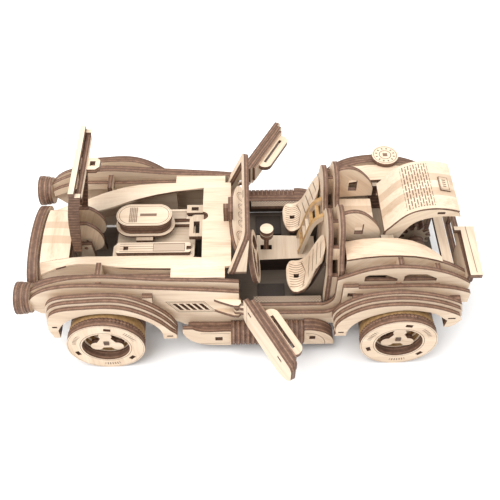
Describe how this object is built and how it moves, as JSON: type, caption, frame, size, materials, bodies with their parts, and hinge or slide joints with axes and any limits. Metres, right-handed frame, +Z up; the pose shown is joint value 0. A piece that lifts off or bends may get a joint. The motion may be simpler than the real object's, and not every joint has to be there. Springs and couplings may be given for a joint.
{
  "type": "wooden 3d jigsaw model car",
  "caption": "Laser-cut plywood puzzle model of a classic open roadster, with opening bonnet, doors and boot lid, rolling wheels and a geared rear axle.",
  "frame": {"origin": "on the ground below the middle of the bounding box, midway between nose and tail", "axes": "-X is the nose and +X the tail, -Y is the car's left side, +Z is up"},
  "size_m": [0.3736, 0.2736, 0.15],
  "materials": {
    "ply_face": "birch plywood face with laser-charred edges",
    "ply_inner": "birch plywood in the shaded inner structure",
    "ply_layered": "stacked plywood seen mostly on its charred edges"
  },
  "bodies": {
    "chassis": {"floor_plate": "ply_face", "side_panel_left": "ply_face", "side_panel_right": "ply_face", "inner_rail_left": "ply_face", "inner_rail_right": "ply_face", "deck_formers": "ply_face", "front_arches_left": "ply_face", "front_arches_right": "ply_face", "rear_arches_left": "ply_face", "rear_arches_right": "ply_face", "fender_spacers": "ply_inner", "bonnet_deck": "ply_face", "nose_panel": "ply_face", "radiator_mouth": "ply_face", "headlights": "ply_face", "bonnet_hinge_posts": "ply_inner", "bulkheads": "ply_inner", "engine_block": "ply_inner", "valve_covers": "ply_face", "air_filter": "ply_face", "windscreen": "ply_face", "dash_panel": "ply_face", "rear_view_mirror": "ply_face", "tunnel": "ply_inner", "cockpit_trim": "ply_face", "seat_left": "ply_face", "seat_right": "ply_face", "seat_frames": "ply_inner", "rear_bulkhead": "ply_face", "fairings": "ply_face", "rear_deck": "ply_face", "lid_hinge": "ply_inner", "fuel_cap": "ply_face", "tail_panel": "ply_face", "tail_rails": "ply_face", "side_pipe_left": "ply_layered", "side_pipe_right": "ply_layered", "door_hinges": "ply_face"},
    "bonnet": {"bonnet_skin": "ply_face", "bonnet_formers": "ply_face", "bonnet_hinge_arms": "ply_face"},
    "door_left": {"door_skin_left": "ply_face", "door_liner_left": "ply_face"},
    "door_right": {"door_skin_right": "ply_face", "door_liner_right": "ply_face"},
    "boot_lid": {"lid_frames": "ply_face", "lid_skin": "ply_face"},
    "front_axle": {"front_axle": "ply_face", "wheel_front_left": "ply_layered", "wheel_front_right": "ply_layered", "front_hubs": "ply_face"},
    "rear_axle": {"rear_axle": "ply_face", "wheel_rear_left": "ply_layered", "wheel_rear_right": "ply_layered", "rear_hubs": "ply_face", "drive_gear": "ply_inner"},
    "motor_drum": {"motor_drum": "ply_inner"},
    "steering_wheel": {"steering_wheel": "ply_face"},
    "gear_lever": {"gear_lever": "ply_face"}
  },
  "joints": [
    {"name": "bonnet_hinge", "type": "hinge", "parent": "chassis", "child": "bonnet", "pos_m": [-0.134, 0, 0.0645], "axis": [0, 1, 0], "range_deg": [0, 71]},
    {"name": "door_left_hinge", "type": "hinge", "parent": "chassis", "child": "door_left", "pos_m": [-0.0098, -0.07, 0.05], "axis": [0, 0, 1], "range_deg": [0, 61.7]},
    {"name": "door_right_hinge", "type": "hinge", "parent": "chassis", "child": "door_right", "pos_m": [-0.0098, 0.07, 0.05], "axis": [0, 0, 1], "range_deg": [-61.7, 0]},
    {"name": "boot_lid_hinge", "type": "hinge", "parent": "chassis", "child": "boot_lid", "pos_m": [0.111, 0, 0.086], "axis": [0, 1, 0], "range_deg": [0, 43]},
    {"name": "front_axle_spin", "type": "hinge", "parent": "chassis", "child": "front_axle", "pos_m": [-0.115, 0, 0.031], "axis": [0, 1, 0], "continuous": true},
    {"name": "rear_axle_spin", "type": "hinge", "parent": "chassis", "child": "rear_axle", "pos_m": [0.12, 0, 0.031], "axis": [0, 1, 0], "continuous": true},
    {"name": "motor_drum_spin", "type": "hinge", "parent": "chassis", "child": "motor_drum", "pos_m": [0.142, 0, 0.05692], "axis": [0, 1, 0], "continuous": true},
    {"name": "steering_column", "type": "hinge", "parent": "chassis", "child": "steering_wheel", "pos_m": [0.0024, -0.0316, 0.0676], "axis": [0.9848, 0, 0.1736], "range_deg": [-120, 120]},
    {"name": "gear_lever_tilt", "type": "hinge", "parent": "chassis", "child": "gear_lever", "pos_m": [0.016, 0, 0.032], "axis": [0, 1, 0], "range_deg": [-12, 12]}
  ],
  "couplings": [
    {"joint": "motor_drum_spin", "follows": "rear_axle_spin", "ratio": -1.8333}
  ]
}
